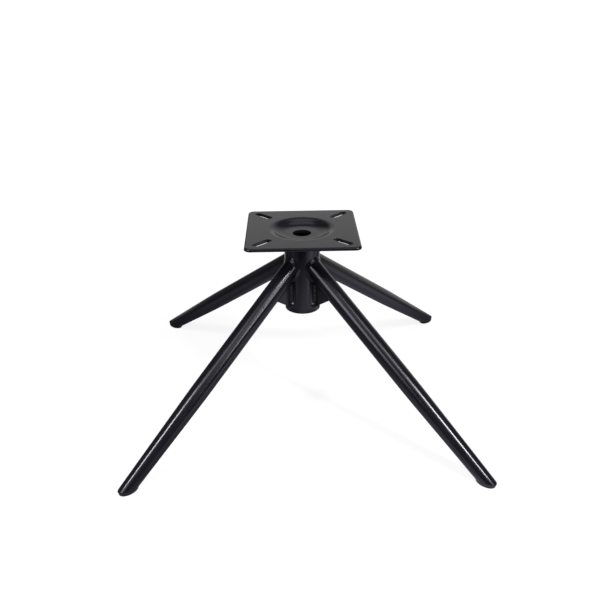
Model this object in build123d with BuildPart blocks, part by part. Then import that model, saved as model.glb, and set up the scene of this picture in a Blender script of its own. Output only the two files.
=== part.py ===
from build123d import *
import math
import os

# A fixed four-legged chair base: a pressed seat plate on a hub tube, with four splayed leg tubes
# welded to the hub, a gusset under each leg and a plastic glide in each foot.
# Millimetres, Z up, the floor at Z = 0 and the hub on the Z axis. The chair faces -Y.

# Overall
top_height = 312.3  # floor to the upper face of the seat plate
foot_radius = 385.4  # hub axis to where a leg's axis reaches the floor

# Seat plate
plate_width = 181.4
plate_thickness = 5.4
plate_corner_radius = 10.0
plate_edge_share = 0.6  # of the thickness, rounded over at the upper face
plate_under_share = 0.3  # and at the lower face
dish_depth = 8.4
dish_wall_angle = 30.0  # of the dish wall, from level
dish_rim_bend = 22.0  # radii on the upper face
dish_foot_bend = 38.0
dish_edge_margin = 2.0  # level sheet drawn on beyond the rim bend
dish_floor_margin = 6.75  # hub tube to where the wall's slope would meet the dish floor
centre_hole_diameter = 30.0
slot_pitch = 126.6  # between slot centres, along each side of the plate
slot_length = 37.0
slot_width = 11.0

# Hub tube
hub_diameter = 58.8
hub_wall = 2.0
hub_length = 127.9
hub_edge_share = 0.3  # of the wall, rounded over at each face

# Legs
leg_diameter = 29.6
leg_wall = 1.5
leg_drop = 44.6  # upper face of the plate to where the leg axes cross on the hub axis
leg_toe_diameter = 21.8  # at the floor
leg_taper_length = 184.0  # swaged stretch above the floor

# Gussets
gusset_thickness = 4.0
gusset_reach = 34.0  # out from the hub tube
gusset_setback = 9.0  # up from the hub tube's lower end
gusset_nose = 3.0  # blunt outer end

# Welds
plate_weld_size = 4.0
leg_weld_size = 4.5
gusset_weld_size = 3.0
weld_clearance = 2.5  # gusset corner kept off the leg weld

# Foot glides
glide_height = 7.2  # floor to the leg's cut end
glide_inset = 0.6  # glide edge inside the leg's outer surface
glide_draft = 27.0  # of the heel and toe, from upright
glide_flank_draft = 6.0  # of the flanks, from upright
glide_toe_shift = 1.6  # of the floor face towards the toe
glide_edge_round = 1.5
stem_length = 24.0
stem_clearance = 0.15

# Derived sizes and places
hub_radius = hub_diameter / 2
leg_radius = leg_diameter / 2
toe_radius = leg_toe_diameter / 2
leg_root_height = top_height - leg_drop
leg_slope = math.atan2(leg_root_height, foot_radius)
leg_length = math.hypot(leg_root_height, foot_radius)
leg_taper_start = leg_length - leg_taper_length
hub_top = top_height - dish_depth - plate_thickness
hub_bottom = hub_top - hub_length
seat_overlap = plate_thickness / 2  # hub and weld drawn on into the dish before they are cut to it
dish_slope = math.radians(dish_wall_angle)
dish_floor_radius = hub_radius + dish_floor_margin
dish_rim_radius = dish_floor_radius + dish_depth / math.tan(dish_slope)
dish_edge_radius = dish_rim_radius + dish_rim_bend * math.tan(dish_slope / 2) + dish_edge_margin
slot_circle_radius = slot_pitch / math.sqrt(2)

# Where each leg stands, as a bearing from +X
corners = {"front_left": 225.0, "front_right": 315.0, "rear_left": 135.0, "rear_right": 45.0}

os.makedirs("parts", exist_ok=True)


def save(piece, name):
    piece.label = name
    export_step(piece, f"parts/{name}.step")


def outward(bearing):
    angle = math.radians(bearing)
    return Vector(math.cos(angle), math.sin(angle), 0)


def upright_plane(bearing):
    # local X runs outward from the hub axis, local Y runs up from the floor
    return Plane(origin=(0, 0, 0), x_dir=outward(bearing), z_dir=outward(bearing - 90))


def level_plane(bearing, height):
    # local X runs outward from the hub axis, local Z runs up
    return Plane(origin=(0, 0, height), x_dir=outward(bearing), z_dir=(0, 0, 1))


def leg_plane(bearing):
    # local X runs down along the leg's axis from the hub axis
    run = outward(bearing) * math.cos(leg_slope) - Vector(0, 0, math.sin(leg_slope))
    return Plane(origin=(0, 0, leg_root_height), x_dir=run, z_dir=outward(bearing - 90))


def leg_radius_at(run):
    # a straight tube first, then an even taper down to the floor
    tapered = max(0.0, run - leg_taper_start)
    return leg_radius - (leg_radius - toe_radius) * tapered / leg_taper_length


def leg_underside(radius):
    # height of the leg's lowest line at that distance from the hub axis
    return leg_root_height - radius * math.tan(leg_slope) - leg_radius / math.cos(leg_slope)


def leg_bar(bearing, inset=0.0, start=0.0, mode=Mode.ADD):
    # the leg's outline, drawn in by the inset, as a solid bar that runs on through the floor
    plane = leg_plane(bearing)
    end = leg_length + leg_toe_diameter
    runs = [start, end]
    if start < leg_taper_start:
        runs.insert(1, leg_taper_start)
    edge = [(run, leg_radius_at(run) - inset) for run in runs]
    with BuildSketch(plane) as half_section:
        with BuildLine():
            Polyline((start, 0), *edge, (end, 0), close=True)
        make_face()
    revolve(half_section.sketch, axis=Axis(plane.origin, plane.x_dir), mode=mode)


def hub_bar(mode=Mode.ADD):
    # the hub's outline as a solid bar that passes every leg and gusset
    Cylinder(hub_radius, top_height, align=(Align.CENTER, Align.CENTER, Align.MIN), mode=mode)


def dish_line(depth):
    # section of the dish at that depth in the sheet, from the level sheet down the wall to the hole
    shift = depth * math.tan(dish_slope / 2)
    return FilletPolyline(
        (dish_edge_radius, top_height - depth),
        (dish_rim_radius + shift, top_height - depth),
        (dish_floor_radius + shift, top_height - dish_depth - depth),
        (centre_hole_diameter / 2, top_height - dish_depth - depth),
        radius=[dish_rim_bend - depth, dish_foot_bend + depth],
    )


# Seat plate: a square sheet with its middle pressed down into a dish
with BuildPart() as seat_plate:
    with BuildSketch(Plane.XY.offset(top_height - plate_thickness)):
        RectangleRounded(plate_width, plate_width, plate_corner_radius)
        Circle(dish_edge_radius, mode=Mode.SUBTRACT)
        with PolarLocations(slot_circle_radius, len(corners), start_angle=corners["rear_right"]):
            SlotOverall(slot_length, slot_width, mode=Mode.SUBTRACT)
    extrude(amount=plate_thickness)
    level_faces = seat_plate.faces().filter_by(Axis.Z).sort_by(Axis.Z)
    under_edges = level_faces[0].outer_wire().edges()
    upper_edges = level_faces[-1].outer_wire().edges()
    fillet(under_edges, plate_under_share * plate_thickness)
    fillet(upper_edges, plate_edge_share * plate_thickness)
    with BuildSketch(Plane.XZ):
        with BuildLine():
            upper_line = dish_line(0)
            under_line = dish_line(plate_thickness)
            Line(upper_line @ 0, under_line @ 0)
            Line(upper_line @ 1, under_line @ 1)
        make_face()
    revolve(axis=Axis.Z)
save(seat_plate.part, "seat_plate")

# Hub tube: open at both ends, its upper end cut to the dish and its lower end rounded over
with BuildPart() as hub_tube:
    with BuildSketch(Plane.XY.offset(hub_bottom)):
        Circle(hub_radius)
        Circle(hub_radius - hub_wall, mode=Mode.SUBTRACT)
    extrude(amount=hub_length + seat_overlap)
    fillet(hub_tube.edges().group_by(Axis.Z)[0], hub_edge_share * hub_wall)
    add(seat_plate.part, mode=Mode.SUBTRACT)
save(hub_tube.part, "hub_tube")

# Fillet weld between the hub tube and the underside of the dish
with BuildPart() as plate_weld:
    with BuildSketch(Plane.XZ):
        with BuildLine():
            Polyline(
                (hub_radius, hub_top + seat_overlap),
                (hub_radius + plate_weld_size + seat_overlap, hub_top + seat_overlap),
                (hub_radius, hub_top - plate_weld_size),
                close=True,
            )
        make_face()
    revolve(axis=Axis.Z)
    add(seat_plate.part, mode=Mode.SUBTRACT)
save(plate_weld.part, "plate_weld")


def make_leg(bearing):
    # a hollow tube, coped round the hub and cut level above the floor
    with BuildPart() as leg:
        leg_bar(bearing)
        leg_bar(bearing, inset=leg_wall, mode=Mode.SUBTRACT)
        hub_bar(mode=Mode.SUBTRACT)
        split(bisect_by=Plane.XY.offset(glide_height), keep=Keep.TOP)
    return leg.part


def make_leg_weld(bearing):
    # the corner between leg and hub, filled all round the leg
    with BuildPart() as weld:
        hub_bar()
        leg_bar(bearing)
        seam = weld.edges(Select.LAST).filter_by(GeomType.BSPLINE)
        chamfer(seam, leg_weld_size)
        hub_bar(mode=Mode.SUBTRACT)
        leg_bar(bearing, mode=Mode.SUBTRACT)
    return weld.part


def make_gusset(bearing):
    # a triangular plate between hub and leg, its inner corner clipped to pass the leg weld
    clip = leg_weld_size + weld_clearance
    low = hub_bottom + gusset_setback
    root = leg_underside(hub_radius)
    nose_radius = hub_radius + gusset_reach
    nose_height = leg_underside(nose_radius)
    with BuildPart() as gusset:
        with BuildSketch(upright_plane(bearing)):
            with BuildLine():
                Polyline(
                    (0, low),
                    (hub_radius, low),
                    (nose_radius, nose_height - gusset_nose),
                    (nose_radius, nose_height + leg_radius),
                    (hub_radius + clip, leg_underside(hub_radius + clip) + leg_radius),
                    (hub_radius + clip, leg_underside(hub_radius + clip)),
                    (hub_radius, root - clip),
                    (0, root - clip),
                    close=True,
                )
            make_face()
        extrude(amount=gusset_thickness / 2, both=True)
        hub_bar(mode=Mode.SUBTRACT)
        leg_bar(bearing, mode=Mode.SUBTRACT)
    return gusset.part


def make_gusset_weld(bearing):
    # a bead up each side of the gusset, in its corner with the hub
    clip = leg_weld_size + weld_clearance
    low = hub_bottom + gusset_setback
    high = leg_underside(hub_radius) - clip
    face = gusset_thickness / 2
    edge = face + gusset_weld_size
    with BuildPart() as weld:
        with BuildSketch(level_plane(bearing, low)):
            with BuildLine():
                Polyline(
                    (0, face),
                    (hub_radius + gusset_weld_size, face),
                    (math.sqrt(hub_radius**2 - edge**2), edge),
                    (0, edge),
                    close=True,
                )
            make_face()
            mirror(about=Plane.XZ)
            Circle(hub_radius, mode=Mode.SUBTRACT)
        extrude(amount=high - low)
    return weld.part


def make_foot_glide(bearing):
    # a drafted oval foot under the leg's cut end, with a stem up its bore
    cut_run = (leg_root_height - glide_height) / math.sin(leg_slope)
    cut_radius = leg_radius_at(cut_run)
    cut_place = cut_run * math.cos(leg_slope)
    top_length = cut_radius / math.sin(leg_slope) - glide_inset
    top_width = cut_radius - glide_inset
    floor_length = top_length - glide_height * math.tan(math.radians(glide_draft))
    floor_width = top_width - glide_height * math.tan(math.radians(glide_flank_draft))
    with BuildPart() as glide:
        leg_bar(bearing, inset=leg_wall + stem_clearance, start=cut_run - stem_length)
        split(bisect_by=Plane.XY.offset(glide_height), keep=Keep.TOP)
        with BuildSketch(level_plane(bearing, 0)):
            with Locations((cut_place + glide_toe_shift, 0)):
                Ellipse(floor_length, floor_width)
        with BuildSketch(level_plane(bearing, glide_height)):
            with Locations((cut_place, 0)):
                Ellipse(top_length, top_width)
        loft()
        fillet(glide.faces().sort_by(Axis.Z)[0].edges(), glide_edge_round)
    return glide.part


for corner, bearing in corners.items():
    save(make_leg(bearing), f"leg_{corner}")
    save(make_leg_weld(bearing), f"leg_weld_{corner}")
    save(make_gusset(bearing), f"gusset_{corner}")
    save(make_gusset_weld(bearing), f"gusset_weld_{corner}")
    save(make_foot_glide(bearing), f"foot_glide_{corner}")
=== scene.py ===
import bmesh
import bpy
import math
import random
from mathutils import Matrix, Quaternion, Vector


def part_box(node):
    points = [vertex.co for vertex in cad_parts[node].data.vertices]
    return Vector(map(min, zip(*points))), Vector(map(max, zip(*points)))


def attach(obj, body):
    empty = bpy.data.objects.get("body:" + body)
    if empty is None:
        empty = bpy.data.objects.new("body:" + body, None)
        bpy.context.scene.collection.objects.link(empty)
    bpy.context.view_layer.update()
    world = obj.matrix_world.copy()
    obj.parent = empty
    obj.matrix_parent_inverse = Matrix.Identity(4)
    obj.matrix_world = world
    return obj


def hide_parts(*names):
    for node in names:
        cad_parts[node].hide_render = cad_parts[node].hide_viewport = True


# Welded four-legged chair base, satin black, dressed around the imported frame.
# Metres, Z up, the chair faces -Y.
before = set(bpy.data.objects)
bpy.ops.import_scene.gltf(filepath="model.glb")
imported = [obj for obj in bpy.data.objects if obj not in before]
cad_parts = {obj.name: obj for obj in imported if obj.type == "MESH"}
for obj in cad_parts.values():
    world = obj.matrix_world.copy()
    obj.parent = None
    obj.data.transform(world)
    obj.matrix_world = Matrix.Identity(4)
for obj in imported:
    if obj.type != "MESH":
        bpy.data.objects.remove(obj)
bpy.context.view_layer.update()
print("frame loaded:", len(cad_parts), "nodes")

# bearings from +X
corners = {"front_left": 225, "front_right": 315, "rear_left": 135, "rear_right": 45}

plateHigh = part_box("seat_plate")[1]
hubLow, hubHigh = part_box("hub_tube")
hubRadius = hubHigh.x
hubTop = hubHigh.z
hubBottom = hubLow.z
up = Vector((0, 0, 1))


# finishes

coatFinish = {
    "dark": (0.0036, 0.0035, 0.0056, 1),
    "pale": (0.0064, 0.0062, 0.0094, 1),
    "shadeScale": 22.0,  # slow drift of the black along a tube
    "gloss": (0.16, 0.22),  # roughness between these
    "glossScale": 60.0,
    "specular": 0.375,
    "peelScale": 950.0,  # orange peel, about a millimetre across
    "peelDepth": 0.00006,
    "peelStrength": 0.03,
}

weldFinish = dict(coatFinish, gloss=(0.18, 0.26), peelScale=1500.0, peelStrength=0.1)

glideFinish = {
    "dark": (0.006, 0.006, 0.0065, 1),
    "pale": (0.011, 0.011, 0.0118, 1),
    "shadeScale": 90.0,
    "gloss": (0.46, 0.6),
    "glossScale": 180.0,
    "specular": 0.4,
    "peelScale": 2600.0,  # moulded grain
    "peelDepth": 0.00008,
    "peelStrength": 0.4,
}

noise = {
    "low": 0.3,  # most of a noise lies between these
    "high": 0.7,
    "shadeDetail": 4,
    "glossDetail": 5,
    "peelDetail": 2,
}


def addNoise(tree, place, scale, detail):
    texture = tree.nodes.new("ShaderNodeTexNoise")
    texture.inputs["Scale"].default_value = scale
    texture.inputs["Detail"].default_value = detail
    tree.links.new(place, texture.inputs["Vector"])
    return texture.outputs["Fac"]


def makeFinish(name, finish):
    material = bpy.data.materials.new(name)
    material.use_nodes = True
    tree = material.node_tree
    shader = tree.nodes["Principled BSDF"]
    shader.inputs["Specular IOR Level"].default_value = finish["specular"]
    place = tree.nodes.new("ShaderNodeTexCoord").outputs["Object"]

    # the black drifts a little from patch to patch
    shade = tree.nodes.new("ShaderNodeValToRGB")
    shade.color_ramp.elements[0].position = noise["low"]
    shade.color_ramp.elements[0].color = finish["dark"]
    shade.color_ramp.elements[1].position = noise["high"]
    shade.color_ramp.elements[1].color = finish["pale"]
    patches = addNoise(tree, place, finish["shadeScale"], noise["shadeDetail"])
    tree.links.new(patches, shade.inputs["Fac"])
    tree.links.new(shade.outputs["Color"], shader.inputs["Base Color"])

    gloss = tree.nodes.new("ShaderNodeMapRange")
    gloss.inputs["From Min"].default_value = noise["low"]
    gloss.inputs["From Max"].default_value = noise["high"]
    gloss.inputs["To Min"].default_value = finish["gloss"][0]
    gloss.inputs["To Max"].default_value = finish["gloss"][1]
    smears = addNoise(tree, place, finish["glossScale"], noise["glossDetail"])
    tree.links.new(smears, gloss.inputs["Value"])
    tree.links.new(gloss.outputs["Result"], shader.inputs["Roughness"])

    peel = tree.nodes.new("ShaderNodeBump")
    peel.inputs["Strength"].default_value = finish["peelStrength"]
    peel.inputs["Distance"].default_value = finish["peelDepth"]
    grain = addNoise(tree, place, finish["peelScale"], noise["peelDetail"])
    tree.links.new(grain, peel.inputs["Height"])
    tree.links.new(peel.outputs["Normal"], shader.inputs["Normal"])
    return material


blackCoat = makeFinish("blackCoat", coatFinish)
blackWeld = makeFinish("blackWeld", weldFinish)
glidePlastic = makeFinish("glidePlastic", glideFinish)
print("finishes made")


# mesh helpers

def addRings(bm, rings, closeLoft=False):
    # quads between rings of points that all run the same way round
    rows = [[bm.verts.new(point) for point in ring] for ring in rings]
    pairs = list(zip(rows, rows[1:]))
    if closeLoft:
        pairs.append((rows[-1], rows[0]))
    count = len(rows[0])
    for lower, upper in pairs:
        for k in range(count):
            after = (k + 1) % count
            bm.faces.new((lower[k], lower[after], upper[after], upper[k]))
    return rows


def addPiece(name, bm, finish, node, crease):
    bmesh.ops.recalc_face_normals(bm, faces=bm.faces)
    mesh = bpy.data.meshes.new(name)
    bm.to_mesh(mesh)
    bm.free()
    mesh.polygons.foreach_set("use_smooth", [True] * len(mesh.polygons))
    mesh.set_sharp_from_angle(angle=math.radians(crease))
    mesh.materials.append(finish)
    piece = bpy.data.objects.new(name, mesh)
    bpy.context.scene.collection.objects.link(piece)
    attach(piece, "root")
    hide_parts(node)
    return piece


def keepFlats(piece):
    # large flat faces keep their own normal beside small rounded edges
    flats = piece.modifiers.new("keepFlats", "WEIGHTED_NORMAL")
    flats.keep_sharp = True


def arc(centre, radius, startDegrees, endDegrees, steps):
    points = []
    for k in range(steps + 1):
        angle = math.radians(startDegrees + (endDegrees - startDegrees) * k / steps)
        points.append((centre[0] + radius * math.cos(angle), centre[1] + radius * math.sin(angle)))
    return points


def roundTurns(count):
    return [2 * math.pi * k / count for k in range(count)]


def spinRings(section, sides):
    # each (radius, height) of a section carried round the Z axis
    turns = roundTurns(sides)
    rings = []
    for radius, height in section:
        rings.append([Vector((radius * math.cos(turn), radius * math.sin(turn), height)) for turn in turns])
    return rings


# seat plate: square sheet, pressed dish, punched centre hole and four diagonal slots

plate = {
    "top": plateHigh.z,
    "half": plateHigh.x,
    "thickness": 0.0054,
    "cornerRadius": 0.010,
    "edgeRounds": (0.00324, 0.00162),  # upper and lower
    "punchRounds": (0.0003, 0.0003),  # slots and centre hole
    "dishDepth": 0.0084,
    "dishWallAngle": 30,  # from level
    "rimBend": 0.022,  # radii on the upper face
    "footBend": 0.038,
    "edgeMargin": 0.002,  # level sheet beyond the rim bend
    "dishFloorMargin": 0.00675,  # hub tube to where the wall's slope would meet the floor
    "holeRadius": 0.015,
    "slotPitch": 0.1266,  # between slot centres along a side
    "slotLength": 0.037,
    "slotWidth": 0.011,
    "sides": 192,  # round the dish
    "cornerSteps": 14,
    "roundSteps": 6,
    "bendSteps": 14,
    "crease": 50,  # degrees, sharper edges stay sharp
}


def squareLoop(half, radius, steps):
    points = []
    inner = half - radius
    for k, (signX, signY) in enumerate(((1, 1), (-1, 1), (-1, -1), (1, -1))):
        points += arc((signX * inner, signY * inner), radius, 90 * k, 90 * k + 90, steps)
    return points


def slotLoop(bearing, reach, length, width, steps):
    # a slot that runs outward along the bearing
    turn = Matrix.Rotation(math.radians(bearing), 2)
    straight = length / 2 - width / 2
    outline = arc((straight, 0), width / 2, -90, 90, steps)
    outline += arc((-straight, 0), width / 2, 90, 270, steps)
    return [tuple(turn @ Vector((x + reach, y))) for x, y in outline]


def addSheetEdge(bm, makeLoop, roundings, top, bottom, steps):
    # the wall of an outline, rolled over at both faces
    # makeLoop(inset) gives the outline drawn so far into the metal
    upper, lower = roundings
    rings = []
    for k in range(steps + 1):
        angle = math.pi / 2 * k / steps
        loop = makeLoop(upper * (1 - math.sin(angle)))
        rings.append([Vector((x, y, top - upper * (1 - math.cos(angle)))) for x, y in loop])
    for k in range(steps + 1):
        angle = math.pi / 2 * k / steps
        loop = makeLoop(lower * (1 - math.cos(angle)))
        rings.append([Vector((x, y, bottom + lower * (1 - math.sin(angle)))) for x, y in loop])
    rows = addRings(bm, rings)
    return rows[0], rows[-1]


dishAngle = math.radians(plate["dishWallAngle"])
dishFloorRadius = hubRadius + plate["dishFloorMargin"]
dishRimRadius = dishFloorRadius + plate["dishDepth"] / math.tan(dishAngle)
dishLevelRadius = dishFloorRadius - plate["footBend"] * math.tan(dishAngle / 2)  # of the level floor


def dishSection(depth):
    # (radius, height) from the flat of the sheet in to the dish floor
    # along the face that lies at this depth in the sheet
    rimBend, footBend = plate["rimBend"], plate["footBend"]
    rimCentre = (dishRimRadius + rimBend * math.tan(dishAngle / 2), plate["top"] - rimBend)
    footCentre = (dishLevelRadius, plate["top"] - plate["dishDepth"] + footBend)
    wall = plate["dishWallAngle"]
    rim = arc(rimCentre, rimBend - depth, 90, 90 + wall, plate["bendSteps"])
    foot = arc(footCentre, footBend + depth, 270 + wall, 270, plate["bendSteps"])
    return [(rimCentre[0] + plate["edgeMargin"], plate["top"] - depth)] + rim + foot


def dishUnderside(radius):
    # height of the dish's lower face where the hub and its weld meet it
    bend = plate["footBend"] + plate["thickness"]
    rise = bend - math.sqrt(bend**2 - max(0, radius - dishLevelRadius) ** 2)
    return plate["top"] - plate["dishDepth"] - plate["thickness"] + rise


def makeSeatPlate():
    bm = bmesh.new()
    top = plate["top"]
    bottom = top - plate["thickness"]
    steps = plate["cornerSteps"]
    roundSteps = plate["roundSteps"]
    punch = plate["punchRounds"][0]
    topLoops = []
    bottomLoops = []

    def outside(inset):
        return squareLoop(plate["half"] - inset, plate["cornerRadius"] - inset, steps)

    edges = addSheetEdge(bm, outside, plate["edgeRounds"], top, bottom, roundSteps)
    topLoops.append(edges[0])
    bottomLoops.append(edges[1])
    slotReach = plate["slotPitch"] / math.sqrt(2)
    for bearing in corners.values():

        def slot(inset, bearing=bearing):
            length = plate["slotLength"] + 2 * inset
            width = plate["slotWidth"] + 2 * inset
            return slotLoop(bearing, slotReach, length, width, steps)

        edges = addSheetEdge(bm, slot, plate["punchRounds"], top, bottom, roundSteps)
        topLoops.append(edges[0])
        bottomLoops.append(edges[1])

    # dish: upper face in to the hole, round the punched edge, and back out along the lower face
    thickness = plate["thickness"]
    upper = dishSection(0)
    lower = dishSection(thickness)
    floorHeight = top - plate["dishDepth"]
    hole = plate["holeRadius"]
    lip = arc((hole + punch, floorHeight - punch), punch, 90, 180, roundSteps)
    lip += arc((hole + punch, floorHeight - thickness + punch), punch, 180, 270, roundSteps)
    section = upper + lip + lower[::-1]
    rows = addRings(bm, spinRings(section, plate["sides"]))
    topLoops.append(rows[0])
    bottomLoops.append(rows[-1])

    for loops in (topLoops, bottomLoops):
        loopEdges = []
        for loop in loops:
            for k in range(len(loop)):
                loopEdges.append(bm.edges.get((loop[k], loop[(k + 1) % len(loop)])))
        bmesh.ops.triangle_fill(bm, use_beauty=True, edges=loopEdges, normal=up)
    piece = addPiece("seatPlate", bm, blackCoat, "seat_plate", plate["crease"])
    keepFlats(piece)


makeSeatPlate()
print("seat plate made")


# hub tube: open below, its lower end rounded over

hub = {"wall": 0.002, "edgeRound": 0.0006, "sides": 160, "roundSteps": 4, "rows": 12, "crease": 40}


def makeHubTube():
    bm = bmesh.new()
    rounding = hub["edgeRound"]
    inner = hubRadius - hub["wall"]
    section = []
    for k in range(hub["rows"]):
        section.append((hubRadius, hubTop + (hubBottom + rounding - hubTop) * k / hub["rows"]))
    section += arc((hubRadius - rounding, hubBottom + rounding), rounding, 0, -90, hub["roundSteps"])
    section += arc((inner + rounding, hubBottom + rounding), rounding, -90, -180, hub["roundSteps"])
    section.append((inner, dishUnderside(inner)))
    addRings(bm, spinRings(section, hub["sides"]), closeLoft=True)
    addPiece("hubTube", bm, blackCoat, "hub_tube", hub["crease"])


makeHubTube()
print("hub tube made")


# legs: straight tubes swaged thinner towards the floor, coped to the hub and cut level at the foot

leg = {
    "rootHeight": 0.2677,  # where the axes cross on the hub axis
    "footReach": 0.3854,  # where an axis meets the floor
    "radius": 0.0148,
    "toeRadius": 0.0109,
    "wall": 0.0015,
    "taperLength": 0.184,
    "taperEase": 0.02,  # the swage starts gently
    "cutHeight": 0.0072,
    "cutPasses": 6,  # to find the cut on the tapered skin
    "endRound": 0.0006,
    "roundLimit": 0.8,  # share of the cut wall that the rounding may take
    "tipRun": 0.01,  # up the skin, to read its direction at the cut
    "sink": 0.0004,  # coped end inside the hub's skin
    "boreShares": (0.02, 0.5, 1),  # rings up the bore
    "sides": 96,
    "rows": 30,
    "roundSteps": 5,
    "crease": 40,
}
legSlope = math.atan2(leg["rootHeight"], leg["footReach"])
legLength = math.hypot(leg["rootHeight"], leg["footReach"])


def cornerAxes(bearing):
    # level axes of a corner: outward from the hub, and sideways
    angle = math.radians(bearing)
    outward = Vector((math.cos(angle), math.sin(angle), 0))
    sideways = Vector((-math.sin(angle), math.cos(angle), 0))
    return outward, sideways


def legRadiusAt(run):
    past = run - (legLength - leg["taperLength"])
    eased = (past + math.hypot(past, leg["taperEase"])) / 2
    return leg["radius"] - (leg["radius"] - leg["toeRadius"]) * eased / leg["taperLength"]


def legSpoke(bearing, turn):
    # square off the leg's axis, turn 0 is its upper side
    outward, sideways = cornerAxes(bearing)
    topside = outward * math.sin(legSlope) + up * math.cos(legSlope)
    return topside * math.cos(turn) + sideways * math.sin(turn)


def legPoint(bearing, run, turn, radius):
    outward = cornerAxes(bearing)[0]
    along = outward * math.cos(legSlope) - up * math.sin(legSlope)
    return up * leg["rootHeight"] + along * run + legSpoke(bearing, turn) * radius


def copeRun(turn, radius, barrel):
    # where a line of the leg's surface meets the hub's barrel
    flat = math.sqrt(barrel**2 - (radius * math.sin(turn)) ** 2)
    return (flat - radius * math.cos(turn) * math.sin(legSlope)) / math.cos(legSlope)


def cutRun(turn, inset):
    # where a line of the leg's surface meets the level cut
    run = legLength
    drop = leg["rootHeight"] - leg["cutHeight"]
    for _ in range(leg["cutPasses"]):
        radius = legRadiusAt(run) - inset
        run = (drop + radius * math.cos(turn) * math.cos(legSlope)) / math.sin(legSlope)
    return run


def makeLeg(corner, bearing):
    bm = bmesh.new()
    turns = roundTurns(leg["sides"])
    barrel = hubRadius - leg["sink"]
    starts = [copeRun(turn, leg["radius"], barrel) for turn in turns]
    ends = [cutRun(turn, 0) for turn in turns]
    boreEnds = [cutRun(turn, leg["wall"]) for turn in turns]
    tips = [legPoint(bearing, end, turn, legRadiusAt(end)) for end, turn in zip(ends, turns)]
    boreTips = []
    for end, turn in zip(boreEnds, turns):
        boreTips.append(legPoint(bearing, end, turn, legRadiusAt(end) - leg["wall"]))

    # the corner between skin and cut is rounded along these two directions
    arms = []
    for turn, tip, boreTip, end in zip(turns, tips, boreTips, ends):
        before = end - leg["tipRun"]
        back = (legPoint(bearing, before, turn, legRadiusAt(before)) - tip).normalized()
        wall = boreTip - tip
        across = wall.normalized()
        reach = min(leg["endRound"] / math.tan(back.angle(across) / 2), leg["roundLimit"] * wall.length)
        arms.append((back, across, reach))

    # down the skin, over the rounded end, and back up the bore
    rings = []
    for row in range(leg["rows"] + 1):
        share = row / leg["rows"]
        ring = []
        for turn, start, end, (_, _, reach) in zip(turns, starts, ends, arms):
            run = start + (end - reach - start) * share
            ring.append(legPoint(bearing, run, turn, legRadiusAt(run)))
        rings.append(ring)
    for step in range(1, leg["roundSteps"] + 1):
        share = step / leg["roundSteps"]
        ring = []
        for tip, (back, across, reach) in zip(tips, arms):
            ring.append(tip + back * reach * (1 - share) ** 2 + across * reach * share**2)
        rings.append(ring)
    rings.append(boreTips)
    for share in leg["boreShares"]:
        ring = []
        for turn, start, end in zip(turns, starts, boreEnds):
            run = end + (start - end) * share
            ring.append(legPoint(bearing, run, turn, legRadiusAt(run) - leg["wall"]))
        rings.append(ring)
    addRings(bm, rings, closeLoft=True)
    addPiece("leg." + corner, bm, blackCoat, "leg_" + corner, leg["crease"])


# weld beads: convex fillets with the ripples of a steady hand, under the coat

bead = {
    "legSize": 0.0045,
    "gussetSize": 0.003,
    "plateSize": 0.004,
    "crown": 0.0001,  # above the straight chord of the fillet
    "ripple": 0.00006,
    "pitch": 0.0021,
    "chevron": 0.55,  # how far each ripple trails at the middle of the bead
    "wander": 0.02,  # share of the width in each of its slow waves
    "waves": 5,
    "firstWave": 2,  # times round the bead
    "copeStretch": 1.12,  # a leg's seam against its girth
    "sink": 0.0002,  # toes under the skin
    "rootSink": 0.0008,  # and the root in the corner
    "steps": 10,  # across the bead
    "samplesPerRipple": 7,
    "blobHeight": 0.005,  # where a gusset bead ends in a blob, above the gusset's lower end
    "blobReach": 0.006,
    "blobSwell": 1.3,
    "blobCrown": 12,  # rounder than the bead by so many crowns
    "leastSwell": 0.15,  # share of the size left at a bead's very end
    "plateSeed": 7,
    "gussetSeed": 1,  # on top of the corner's bearing
    "crease": 80,
}


def beadSection(toeA, toeB, root, outwardDirection, phase, drift):
    # a closed section from one toe over the crown to the other, then through the root
    points = []
    for k in range(bead["steps"] + 1):
        share = k / bead["steps"]
        dome = 4 * share * (1 - share)  # from 0 at the toes to 1 at the middle
        wave = 2 * abs(math.sin(math.pi * (phase + bead["chevron"] * dome))) - 1
        lift = bead["crown"] * dome * drift + bead["ripple"] * wave * math.sqrt(dome)
        lift -= bead["sink"] * (1 - dome)
        points.append(toeA.lerp(toeB, share) + outwardDirection * lift)
    points.append(root - outwardDirection * bead["rootSink"])
    return points


def slowDrift(draw, count):
    # a smooth closed row of factors around 1
    shifts = [draw.uniform(0, 2 * math.pi) for _ in range(bead["waves"])]
    row = []
    for turn in roundTurns(count):
        total = sum(math.sin(wave * turn + shift) for wave, shift in enumerate(shifts, bead["firstWave"]))
        row.append(1 + bead["wander"] * total)
    return row


def toeDirection(tangent, normal, otherNormal):
    # square off the seam along one surface, away from the other
    direction = tangent.cross(normal)
    if direction.dot(otherNormal) < 0:
        direction.negate()
    return direction


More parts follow.
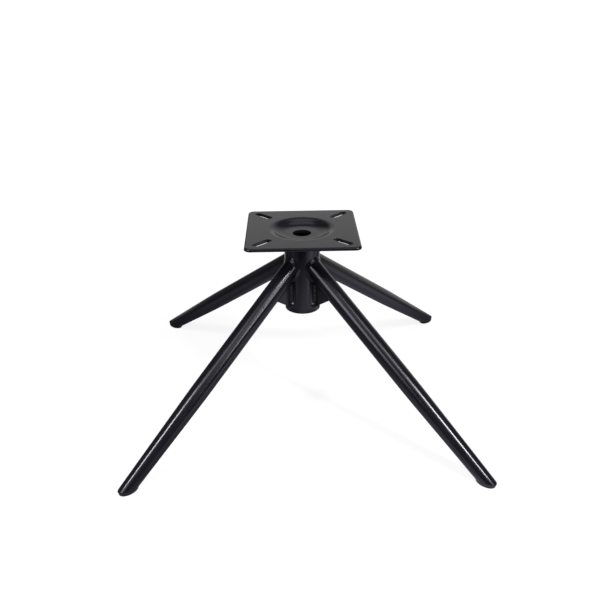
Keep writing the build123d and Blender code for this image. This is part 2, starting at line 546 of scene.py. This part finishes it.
def makeLegWeld(corner, bearing):
    draw = random.Random(bearing)
    bm = bmesh.new()
    around = 2 * math.pi * leg["radius"] * bead["copeStretch"]
    ripples = round(around / bead["pitch"])
    count = ripples * bead["samplesPerRipple"]
    drifts = slowDrift(draw, count)
    turns = roundTurns(count)
    seam = []
    for turn in turns:
        run = copeRun(turn, leg["radius"], hubRadius)
        seam.append(legPoint(bearing, run, turn, leg["radius"]))
    rings = []
    for k, (turn, point) in enumerate(zip(turns, seam)):
        tangent = (seam[(k + 1) % count] - seam[k - 1]).normalized()
        hubNormal = Vector((point.x, point.y, 0)).normalized()
        legNormal = legSpoke(bearing, turn)
        size = bead["legSize"] * drifts[k]
        hubToe = point + toeDirection(tangent, hubNormal, legNormal) * size
        flat = Vector((hubToe.x, hubToe.y, 0))
        hubToe += flat.normalized() * (hubRadius - flat.length)
        legToe = point + toeDirection(tangent, legNormal, hubNormal) * size
        outwardDirection = (hubNormal + legNormal).normalized()
        phase = ripples * k / count
        rings.append(beadSection(hubToe, legToe, point, outwardDirection, phase, drifts[k]))
    addRings(bm, rings, closeLoft=True)
    addPiece("legWeld." + corner, bm, blackWeld, "leg_weld_" + corner, bead["crease"])


def makePlateWeld():
    draw = random.Random(bead["plateSeed"])
    bm = bmesh.new()
    ripples = round(2 * math.pi * hubRadius / bead["pitch"])
    count = ripples * bead["samplesPerRipple"]
    drifts = slowDrift(draw, count)
    rings = []
    for k, turn in enumerate(roundTurns(count)):
        spoke = Vector((math.cos(turn), math.sin(turn), 0))
        size = bead["plateSize"] * drifts[k]
        root = spoke * hubRadius + up * hubTop
        hubToe = root - up * size
        plateToe = spoke * (hubRadius + size) + up * dishUnderside(hubRadius + size)
        outwardDirection = (spoke - up).normalized()
        phase = ripples * k / count
        rings.append(beadSection(hubToe, plateToe, root, outwardDirection, phase, drifts[k]))
    addRings(bm, rings, closeLoft=True)
    addPiece("plateWeld", bm, blackWeld, "plate_weld", bead["crease"])


# gussets: triangular plates under the legs, with a bead up each side of the hub corner

gusset = {
    "thickness": 0.004,
    "reach": 0.034,  # out from the hub
    "setback": 0.009,  # up from the hub's lower end
    "nose": 0.003,
    "clip": 0.007,  # inner corner kept off the leg weld
    "edgeRound": 0.0005,
    "sink": 0.0006,  # into the hub and the leg
    "roundSteps": 3,
    "roundProfile": 0.5,  # a true round
    "crease": 50,
}


def legUnderside(reach):
    return leg["rootHeight"] - reach * math.tan(legSlope) - leg["radius"] / math.cos(legSlope)


def makeGusset(corner, bearing):
    bm = bmesh.new()
    outward, sideways = cornerAxes(bearing)
    clip = gusset["clip"]
    noseReach = hubRadius + gusset["reach"]
    inReach = hubRadius - gusset["sink"]
    lift = gusset["sink"] / math.cos(legSlope)
    outline = [
        (inReach, hubBottom + gusset["setback"]),
        (hubRadius, hubBottom + gusset["setback"]),
        (noseReach, legUnderside(noseReach) - gusset["nose"]),
        (noseReach, legUnderside(noseReach) + lift),
        (hubRadius + clip, legUnderside(hubRadius + clip) + lift),
        (hubRadius + clip, legUnderside(hubRadius + clip)),
        (hubRadius, legUnderside(hubRadius) - clip),
        (inReach, legUnderside(hubRadius) - clip),
    ]
    half = gusset["thickness"] / 2
    rows = []
    for offset in (-half, half):
        rows.append([bm.verts.new(outward * x + sideways * offset + up * z) for x, z in outline])
    bm.faces.new(rows[0])
    bm.faces.new(rows[1][::-1])
    for k in range(len(outline)):
        after = (k + 1) % len(outline)
        bm.faces.new((rows[0][k], rows[1][k], rows[1][after], rows[0][after]))
    bmesh.ops.recalc_face_normals(bm, faces=bm.faces)
    bmesh.ops.bevel(
        bm,
        geom=bm.edges[:],
        offset=gusset["edgeRound"],
        segments=gusset["roundSteps"],
        profile=gusset["roundProfile"],
        affect="EDGES",
        clamp_overlap=True,
    )
    piece = addPiece("gusset." + corner, bm, blackCoat, "gusset_" + corner, gusset["crease"])
    keepFlats(piece)


def makeGussetWeld(corner, bearing):
    draw = random.Random(bearing + bead["gussetSeed"])
    bm = bmesh.new()
    outward, sideways = cornerAxes(bearing)
    low = hubBottom + gusset["setback"]
    span = legUnderside(hubRadius) - gusset["clip"] - low
    ripples = round(span / bead["pitch"])
    count = ripples * bead["samplesPerRipple"]
    face = gusset["thickness"] / 2
    flat = math.sqrt(hubRadius**2 - face**2)  # out to where the gusset's face meets the hub
    for hand in (-1, 1):
        drifts = slowDrift(draw, count + 1)
        aside = sideways * hand
        spoke = (outward + aside).normalized()
        rings = []
        for k in range(count + 1):
            share = k / count
            height = low + span * share
            ends = min(1, min(share, 1 - share) * span / bead["gussetSize"])
            swell = math.sqrt(1 - (1 - ends) ** 2)  # both ends round off
            blob = max(0, 1 - ((height - low - bead["blobHeight"]) / bead["blobReach"]) ** 2)
            size = max(bead["leastSwell"], swell) * bead["gussetSize"] * drifts[k]
            size *= 1 + bead["blobSwell"] * blob
            crown = drifts[k] * swell + bead["blobCrown"] * blob
            root = outward * flat + aside * face + up * height
            gussetToe = root + outward * size
            edge = face + size
            hubToe = outward * math.sqrt(hubRadius**2 - edge**2) + aside * edge + up * height
            rings.append(beadSection(gussetToe, hubToe, root, spoke, ripples * share, crown))
        rows = addRings(bm, rings)
        bm.faces.new(rows[0])
        bm.faces.new(rows[-1])
    addPiece("gussetWeld." + corner, bm, blackWeld, "gusset_weld_" + corner, bead["crease"])


# foot glides: drafted oval pads under the cut ends, each with a stem up the bore

glide = {
    "inset": 0.0006,  # inside the leg's outer surface
    "draft": 27,  # of heel and toe, from upright
    "flankDraft": 6,
    "toeShift": 0.0016,
    "edgeRound": 0.0015,
    "stemLength": 0.024,
    "stemClearance": 0.00015,
    "sides": 96,
    "roundSteps": 6,
    "flankRows": 5,
    "crease": 40,
}


def makeFootGlide(corner, bearing):
    bm = bmesh.new()
    outward, sideways = cornerAxes(bearing)
    turns = roundTurns(glide["sides"])
    height = leg["cutHeight"]
    cutAlong = (leg["rootHeight"] - height) / math.sin(legSlope)
    cutRadius = legRadiusAt(cutAlong)
    cutReach = cutAlong * math.cos(legSlope)
    topLength = cutRadius / math.sin(legSlope) - glide["inset"]
    topWidth = cutRadius - glide["inset"]
    slopeLength = math.tan(math.radians(glide["draft"]))
    slopeWidth = math.tan(math.radians(glide["flankDraft"]))

    def oval(level, inset):
        share = 1 - level / height
        length = topLength - slopeLength * (height - level) - inset
        width = topWidth - slopeWidth * (height - level) - inset
        ring = []
        for turn in turns:
            reach = cutReach + glide["toeShift"] * share + length * math.cos(turn)
            ring.append(outward * reach + sideways * width * math.sin(turn) + up * level)
        return ring

    rounding = glide["edgeRound"]
    rings = []
    for k in range(glide["roundSteps"] + 1):
        angle = math.pi / 2 * k / glide["roundSteps"]
        rings.append(oval(rounding * (1 - math.cos(angle)), rounding * (1 - math.sin(angle))))
    for k in range(1, glide["flankRows"] + 1):
        rings.append(oval(rounding + (height - rounding) * k / glide["flankRows"], 0))
    bore = leg["wall"] + glide["stemClearance"]
    shoulder = []
    for turn in turns:
        run = cutRun(turn, bore)
        shoulder.append(legPoint(bearing, run, turn, legRadiusAt(run) - bore))
    rings.append(shoulder)
    stemTop = cutAlong - glide["stemLength"]
    rings.append([legPoint(bearing, stemTop, turn, legRadiusAt(stemTop) - bore) for turn in turns])
    rows = addRings(bm, rings)
    bm.faces.new(rows[0])
    bm.faces.new(rows[-1])
    node = "foot_glide_" + corner
    addPiece("footGlide." + corner, bm, glidePlastic, node, glide["crease"])


makePlateWeld()
for cornerName, cornerBearing in corners.items():
    makeLeg(cornerName, cornerBearing)
    makeLegWeld(cornerName, cornerBearing)
    makeGusset(cornerName, cornerBearing)
    makeGussetWeld(cornerName, cornerBearing)
    makeFootGlide(cornerName, cornerBearing)
print("legs, welds, gussets and glides made")


# stage: a white sheet that rises behind the chair base, softboxes in front and overhead, and a dim room;
# reflections see a painted glow on the sheet instead of its lit paper

sweep = {
    "level": -0.0002,  # just under the glides
    "halfWidth": 3.0,
    "front": -4.0,
    "back": 2.0,
    "cove": 0.7,
    "wallTop": 2.4,
    "steps": 16,
    "paper": (0.2, 0.2, 0.2, 1),
    "nearGlow": 0.85,  # white for the camera, with the shadow left in
    "farGlow": 1.0,
    "nearReach": 0.55,
    "farReach": 1.5,
    # painted reflection: a glow that only reflections see, graded along Y and along X, bright in front and
    # to the right like a lit floor, with painted shade under the chair base and to the left
    "depthPlaces": (-0.7, -0.6, -0.5, -0.38, -0.22, -0.1, 0.08, 0.17, 0.24, 0.4),
    "paintedReflectionDepthGlows": (0.08, 0.58, 0.82, 1.45, 0.9, 0.5, 0.68, 0.5, 0.2, 0.0),
    "depthTint": (0.97, 0.95, 1.14),
    "acrossPlaces": (-0.45, -0.34, -0.2, 0.0, 0.2, 0.34, 0.5),
    "paintedReflectionAcrossShares": (0.3, 0.55, 0.28, 0.62, 0.66, 1.3, 1.1),
    # and a painted reflection glow on the floor far behind and on the wall
    "backStart": 0.3,
    "backEnd": 0.6,
    "paintedBackReflectionGlow": 0.61,
    "backTint": (1.0, 0.995, 0.965, 1),
    # painted shade: the back glow is darker far to the left
    "darkSide": -0.9,  # darker far to the left
    "brightSide": -0.35,
    "paintedShadeShare": 0.15,
    "wallFull": 1.3,  # and fading out towards the top
    "wallDark": 2.3,
    "none": 0.0,
    "full": 1.0,
}


def addFade(tree, value, keys):
    fade = tree.nodes.new("ShaderNodeMapRange")
    for socket, key in zip(("From Min", "From Max", "To Min", "To Max"), keys):
        fade.inputs[socket].default_value = sweep[key]
    tree.links.new(value, fade.inputs["Value"])
    return fade.outputs["Result"]


def addMath(tree, operation, first, second):
    node = tree.nodes.new("ShaderNodeMath")
    node.operation = operation
    tree.links.new(first, node.inputs[0])
    tree.links.new(second, node.inputs[1])
    return node.outputs["Value"]


def addProfile(tree, value, places, levels, tint=(1, 1, 1)):
    # a level that runs from stop to stop along one axis of the floor
    spread = tree.nodes.new("ShaderNodeMapRange")
    spread.inputs["From Min"].default_value = places[0]
    spread.inputs["From Max"].default_value = places[-1]
    tree.links.new(value, spread.inputs["Value"])
    profile = tree.nodes.new("ShaderNodeValToRGB")
    stops = profile.color_ramp.elements
    while len(stops) < len(places):
        stops.new(1)
    for stop, place, level in zip(stops, places, levels):
        stop.position = (place - places[0]) / (places[-1] - places[0])
        stop.color = [level * part for part in tint] + [1]
    tree.links.new(spread.outputs["Result"], profile.inputs["Fac"])
    return profile.outputs["Color"]


def addGlow(tree, strength):
    glow = tree.nodes.new("ShaderNodeEmission")
    tree.links.new(strength, glow.inputs["Strength"])
    return glow


def addShaders(tree, first, second):
    both = tree.nodes.new("ShaderNodeAddShader")
    tree.links.new(first, both.inputs[0])
    tree.links.new(second, both.inputs[1])
    return both.outputs["Shader"]


def addChoice(tree, share, first, second):
    choice = tree.nodes.new("ShaderNodeMixShader")
    tree.links.new(share, choice.inputs["Fac"])
    tree.links.new(first, choice.inputs[1])
    tree.links.new(second, choice.inputs[2])
    return choice.outputs["Shader"]


def makeSweepFinish():
    material = bpy.data.materials.new("whiteSheet")
    material.use_nodes = True
    tree = material.node_tree
    tree.nodes.remove(tree.nodes["Principled BSDF"])
    paper = tree.nodes.new("ShaderNodeBsdfDiffuse")
    paper.inputs["Color"].default_value = sweep["paper"]
    point = tree.nodes.new("ShaderNodeTexCoord").outputs["Object"]
    reach = tree.nodes.new("ShaderNodeVectorMath")
    reach.operation = "LENGTH"
    tree.links.new(point, reach.inputs[0])
    place = tree.nodes.new("ShaderNodeSeparateXYZ")
    tree.links.new(point, place.inputs["Vector"])
    path = tree.nodes.new("ShaderNodeLightPath")
    seenGlow = addFade(tree, reach.outputs["Value"], ("nearReach", "farReach", "nearGlow", "farGlow"))
    across = addProfile(tree, place.outputs["X"], sweep["acrossPlaces"], sweep["paintedReflectionAcrossShares"])
    depthStops = (sweep["depthPlaces"], sweep["paintedReflectionDepthGlows"], sweep["depthTint"])
    depth = addProfile(tree, place.outputs["Y"], *depthStops)
    # painted reflection of the floor: lighter in front and to the right, painted shade under the chair base
    # and to the left
    paintedFrontGlow = addGlow(tree, across)
    tree.links.new(depth, paintedFrontGlow.inputs["Color"])
    # painted reflection of the far floor and the wall, with painted shade to the left and towards the top
    side = addFade(tree, place.outputs["X"], ("darkSide", "brightSide", "paintedShadeShare", "full"))
    back = addFade(tree, place.outputs["Y"], ("backStart", "backEnd", "none", "paintedBackReflectionGlow"))
    fall = addFade(tree, place.outputs["Z"], ("wallFull", "wallDark", "full", "none"))
    paintedBackGlow = addGlow(tree, addMath(tree, "MULTIPLY", addMath(tree, "MULTIPLY", back, side), fall))
    paintedBackGlow.inputs["Color"].default_value = sweep["backTint"]

    # the camera sees paper and glow; reflections see only their own painted glow, a painted reflection of a
    # lit floor and wall with painted shade in it
    seenLight = addGlow(tree, addMath(tree, "MULTIPLY", path.outputs["Is Camera Ray"], seenGlow))
    seen = addShaders(tree, paper.outputs["BSDF"], seenLight.outputs["Emission"])
    paintedMirrorGlow = addShaders(tree, paintedFrontGlow.outputs["Emission"], paintedBackGlow.outputs["Emission"])
    glossy = path.outputs["Is Glossy Ray"]
    glossyOrClear = addMath(tree, "MAXIMUM", glossy, path.outputs["Is Transmission Ray"])
    sheet = addChoice(tree, glossyOrClear, seen, paintedMirrorGlow)

    # clear from below, so that the underside can be looked at
    clear = tree.nodes.new("ShaderNodeBsdfTransparent").outputs["BSDF"]
    below = tree.nodes.new("ShaderNodeNewGeometry").outputs["Backfacing"]
    oneSided = addChoice(tree, below, sheet, clear)
    tree.links.new(oneSided, tree.nodes["Material Output"].inputs["Surface"])
    return material


def makeSweep():
    cove = sweep["cove"]
    level = sweep["level"]
    outline = [(sweep["front"], level)]
    outline += arc((sweep["back"] - cove, level + cove), cove, -90, 0, sweep["steps"])
    outline.append((sweep["back"], sweep["wallTop"]))
    mesh = bpy.data.meshes.new("whiteSheet")
    points = []
    for y, z in outline:
        points += [(-sweep["halfWidth"], y, z), (sweep["halfWidth"], y, z)]
    faces = [(2 * k, 2 * k + 1, 2 * k + 3, 2 * k + 2) for k in range(len(outline) - 1)]
    mesh.from_pydata(points, [], faces)
    mesh.polygons.foreach_set("use_smooth", [True] * len(mesh.polygons))
    mesh.materials.append(makeSweepFinish())
    sheet = bpy.data.objects.new("whiteSheet", mesh)
    bpy.context.scene.collection.objects.link(sheet)


makeSweep()

lampRig = {"aim": Vector((0, 0, 0.15)), "distance": 2.2, "colour": (0.945, 0.93, 1.0)}

# bearings from the camera's side, to the left below zero and to the right above
lamps = {
    "key.left": {"bearing": -54, "elevation": 46, "size": (0.26, 0.57), "roll": -22, "power": 21},
    "key.right": {"bearing": 43, "elevation": 45.8, "size": (0.3, 0.46), "roll": -2, "power": 32},
    "fill.left": {"bearing": -40, "elevation": 28.5, "size": (1.05, 0.65), "roll": 29, "power": 11},
    "fill.right": {"bearing": 42, "elevation": 26, "size": (0.66, 0.32), "roll": -15, "power": 7},
    "wash.left": {"bearing": -38, "elevation": 60, "size": (0.5, 0.57), "roll": 3, "power": 2},
    "wash.right": {"bearing": 24.5, "elevation": 51, "size": (0.9, 0.95), "roll": 33, "power": 4.2},
    "top.left": {"bearing": -22, "elevation": 59, "size": (0.95, 0.46), "roll": -16, "power": 2},
    "top.right": {"bearing": 36, "elevation": 59.5, "size": (0.31, 0.6), "roll": -5, "power": 3.5},
    "over": {"bearing": 180, "elevation": 72, "size": (1.0, 1.2), "roll": 0, "power": 2.8},
}


def makeLamp(name, setting):
    light = bpy.data.lights.new(name, "AREA")
    light.shape = "RECTANGLE"
    light.size, light.size_y = setting["size"]
    light.energy = setting["power"]
    light.color = lampRig["colour"]
    lamp = bpy.data.objects.new(name, light)
    angle = math.radians(setting["bearing"])
    rise = math.radians(setting["elevation"])
    level = Vector((math.sin(angle), -math.cos(angle), 0)) * math.cos(rise)
    direction = level + up * math.sin(rise)
    lamp.location = lampRig["aim"] + direction * lampRig["distance"]
    lamp.rotation_mode = "QUATERNION"
    lean = Quaternion(up, math.radians(setting["roll"]))
    lamp.rotation_quaternion = (-direction).to_track_quat("-Z", "Y") @ lean
    bpy.context.scene.collection.objects.link(lamp)


for lampName, lampSetting in lamps.items():
    makeLamp(lampName, lampSetting)

room = {"colour": (0.95, 0.97, 1.0, 1), "strength": 0.12, "backdrop": (1, 1, 1, 1)}


def makeRoom():
    # dim around the object, white where the camera looks past the sheet
    world = bpy.data.worlds.new("room")
    world.use_nodes = True
    tree = world.node_tree
    dim = tree.nodes["Background"]
    dim.inputs["Color"].default_value = room["colour"]
    dim.inputs["Strength"].default_value = room["strength"]
    white = tree.nodes.new("ShaderNodeBackground")
    white.inputs["Color"].default_value = room["backdrop"]
    seen = tree.nodes.new("ShaderNodeLightPath").outputs["Is Camera Ray"]
    choice = addChoice(tree, seen, dim.outputs["Background"], white.outputs["Background"])
    tree.links.new(choice, tree.nodes["World Output"].inputs["Surface"])
    bpy.context.scene.world = world


makeRoom()

photoView = {
    "place": Vector((-0.01854, -1.14368, 0.72898)),
    "turn": 0.732,  # to the right of straight ahead
    "pitch": 26.115,  # below level
    "roll": 0.739,
    "focalPixels": 743.29,
    "framePixels": 616,
    "centrePixels": (300.445, 307.544),  # where the lens axis meets the picture
    "sensor": 36,
}


def makeCamera():
    camera = bpy.data.cameras.new("photoCamera")
    pixels = photoView["framePixels"]
    camera.sensor_width = photoView["sensor"]
    camera.lens = photoView["sensor"] * photoView["focalPixels"] / pixels
    camera.shift_x = (pixels / 2 - photoView["centrePixels"][0]) / pixels
    camera.shift_y = (photoView["centrePixels"][1] - pixels / 2) / pixels
    viewer = bpy.data.objects.new("photoCamera", camera)
    heading = Matrix.Rotation(math.radians(-photoView["turn"]), 4, "Z")
    tilt = Matrix.Rotation(math.radians(90 - photoView["pitch"]), 4, "X")
    roll = Matrix.Rotation(math.radians(-photoView["roll"]), 4, "Z")
    viewer.matrix_world = Matrix.Translation(photoView["place"]) @ heading @ tilt @ roll
    bpy.context.scene.collection.objects.link(viewer)
    bpy.context.scene.camera = viewer


makeCamera()
bpy.context.scene.view_settings.view_transform = "Standard"
print("stage, lights and camera made")
